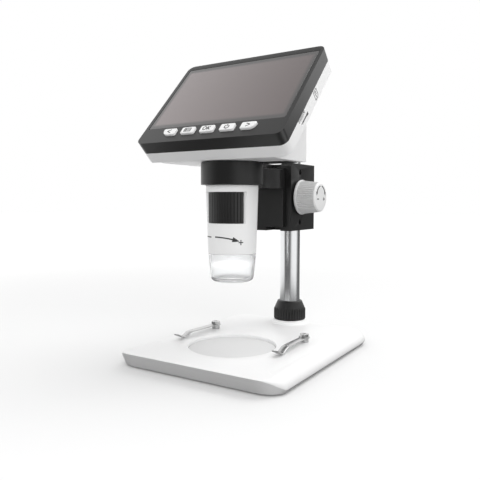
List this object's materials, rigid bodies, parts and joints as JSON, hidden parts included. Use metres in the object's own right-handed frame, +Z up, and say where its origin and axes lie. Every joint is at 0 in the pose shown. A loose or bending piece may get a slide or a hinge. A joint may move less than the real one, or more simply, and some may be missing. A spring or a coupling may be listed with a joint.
{
  "type": "lcd digital microscope",
  "caption": "Digital microscope with a tilted screen and keys above a twist-focus barrel, on a rack-driven pole stand over a flat base with a round stage and spring clips.",
  "frame": {"origin": "centre of the base, on the plane that its feet stand on", "axes": "+X to the right as the user faces the screen, +Y to the back, towards the pole, +Z up"},
  "size_m": [0.124, 0.158, 0.2096],
  "materials": {
    "white_shell": "fine satin moulded white plastic",
    "stage_grey": "light grey matte plastic",
    "black_plastic": "black fine-textured plastic",
    "black_metal": "black anodised or painted metal",
    "frame_dark": "dark grey satin plastic",
    "window": "tinted display window",
    "display": "display panel, switched off",
    "pole_metal": "bright drawn aluminium tube",
    "steel": "spring steel, brushed",
    "bright_steel": "plated steel screws",
    "brass": "machined brass",
    "nylon": "nylon liner",
    "foot_rubber": "rubber",
    "clear_hood": "clear moulded acrylic",
    "lens_glass": "coated optical glass",
    "knob_grey": "light grey ribbed plastic",
    "circuit_green": "solder-masked circuit board",
    "chip": "moulded chip and control body",
    "led_white": "white light-emitting diodes and their board",
    "cell_wrap": "shrink-wrapped battery cell"
  },
  "bodies": {
    "stand": {"base_shell": "white_shell", "base_plate": "white_shell", "base_feet": "foot_rubber", "base_screws": "bright_steel", "stage_disc": "stage_grey", "pole_collet": "white_shell", "pole_tube": "pole_metal", "pole_cap": "black_plastic", "clip_spacers": "steel", "clip_screws": "bright_steel"},
    "nut": {"pole_nut": "black_plastic"},
    "clip_l": {"clip_left": "steel"},
    "clip_r": {"clip_right": "steel"},
    "liner": {"pole_liner": "nylon"},
    "slide_carriage": {"slide_box": "black_metal", "box_cover": "black_metal", "box_screws": "bright_steel", "shaft_bushes": "brass"},
    "focus_drive": {"pinion_shaft": "bright_steel", "pinion_gear": "brass", "focus_knob": "knob_grey", "knob_cap": "white_shell"},
    "holder": {"slide_plate": "black_metal", "rack_bar": "brass", "holder_arm": "black_metal", "arm_screws": "bright_steel"},
    "microscope": {"upper_barrel": "black_plastic", "barrel_screws": "bright_steel", "sensor_board": "circuit_green", "image_sensor": "chip", "led_board": "led_white", "led_lamps": "led_white", "front_frame": "frame_dark", "window_glass": "window", "lcd_panel": "display", "button_board": "circuit_green", "dome_switches": "steel", "rear_shell": "white_shell", "shell_screws": "bright_steel", "main_board": "circuit_green", "battery_cell": "cell_wrap", "usb_socket": "bright_steel", "card_socket": "bright_steel", "dimmer_pot": "chip"},
    "focus_ring": {"focus_barrel": "white_shell", "grip_insert": "black_plastic", "clear_tip": "clear_hood"},
    "lens_unit": {"lens_carrier": "black_plastic", "focus_pins": "bright_steel", "front_lens": "lens_glass", "middle_lens": "lens_glass", "rear_lens": "lens_glass"},
    "dimmer": {"dimmer_wheel": "knob_grey"},
    "key_left": {"button_left": "white_shell"},
    "key_menu": {"button_menu": "white_shell"},
    "key_ok": {"button_ok": "white_shell"},
    "key_power": {"button_power": "white_shell"},
    "key_right": {"button_right": "white_shell"}
  },
  "joints": [
    {"name": "nut_turn", "type": "hinge", "parent": "stand", "child": "nut", "pos_m": [0, 0.0578, 0.02], "axis": [0, 0, 1], "range_deg": [0, 720]},
    {"name": "clip_left_swing", "type": "hinge", "parent": "stand", "child": "clip_l", "pos_m": [-0.0377, 0.0072, 0.0147], "axis": [0, 0, 1], "range_deg": [-20, 45]},
    {"name": "clip_right_swing", "type": "hinge", "parent": "stand", "child": "clip_r", "pos_m": [0.0377, 0.0072, 0.0147], "axis": [0, 0, -1], "range_deg": [-20, 45]},
    {"name": "height_slide", "type": "slide", "parent": "stand", "child": "liner", "axis": [0, 0, 1], "range_m": [-0.028, 0.012]},
    {"name": "pole_swing", "type": "hinge", "parent": "liner", "child": "slide_carriage", "pos_m": [0, 0.0578, 0.1123], "axis": [0, 0, 1], "continuous": true},
    {"name": "rack_slide", "type": "slide", "parent": "slide_carriage", "child": "holder", "axis": [0, 0, 1], "range_m": [-0.01, 0.01]},
    {"name": "knob_turn", "type": "hinge", "parent": "slide_carriage", "child": "focus_drive", "pos_m": [0.016, 0.044, 0.1123], "axis": [1, 0, 0], "range_deg": [-164, 164]},
    {"name": "holder_swivel", "type": "hinge", "parent": "holder", "child": "microscope", "pos_m": [0, -0.027, 0.127], "axis": [0, 0, 1], "continuous": true},
    {"name": "focus_turn", "type": "hinge", "parent": "microscope", "child": "focus_ring", "pos_m": [0, -0.027, 0.1], "axis": [0, 0, 1], "range_deg": [-60.2, 60.2]},
    {"name": "lens_slide", "type": "slide", "parent": "microscope", "child": "lens_unit", "axis": [0, 0, 1], "range_m": [-0.006, 0.006]},
    {"name": "dimmer_turn", "type": "hinge", "parent": "microscope", "child": "dimmer", "pos_m": [0.0492, -0.035, 0.15942], "axis": [0, -0.7193, 0.6947], "range_deg": [-135, 135]},
    {"name": "left_press", "type": "slide", "parent": "microscope", "child": "key_left", "axis": [0, 0.7193, -0.6947], "range_m": [0, 0.0005], "stiffness_N_per_m": 1500, "springref_m": -0.0002},
    {"name": "menu_press", "type": "slide", "parent": "microscope", "child": "key_menu", "axis": [0, 0.7193, -0.6947], "range_m": [0, 0.0005], "stiffness_N_per_m": 1500, "springref_m": -0.0002},
    {"name": "ok_press", "type": "slide", "parent": "microscope", "child": "key_ok", "axis": [0, 0.7193, -0.6947], "range_m": [0, 0.0005], "stiffness_N_per_m": 1500, "springref_m": -0.0002},
    {"name": "power_press", "type": "slide", "parent": "microscope", "child": "key_power", "axis": [0, 0.7193, -0.6947], "range_m": [0, 0.0005], "stiffness_N_per_m": 1500, "springref_m": -0.0002},
    {"name": "right_press", "type": "slide", "parent": "microscope", "child": "key_right", "axis": [0, 0.7193, -0.6947], "range_m": [0, 0.0005], "stiffness_N_per_m": 1500, "springref_m": -0.0002}
  ],
  "couplings": [
    {"joint": "knob_turn", "follows": "rack_slide", "rad_per_m": -285.71},
    {"joint": "focus_turn", "follows": "lens_slide", "rad_per_m": 174.52}
  ]
}
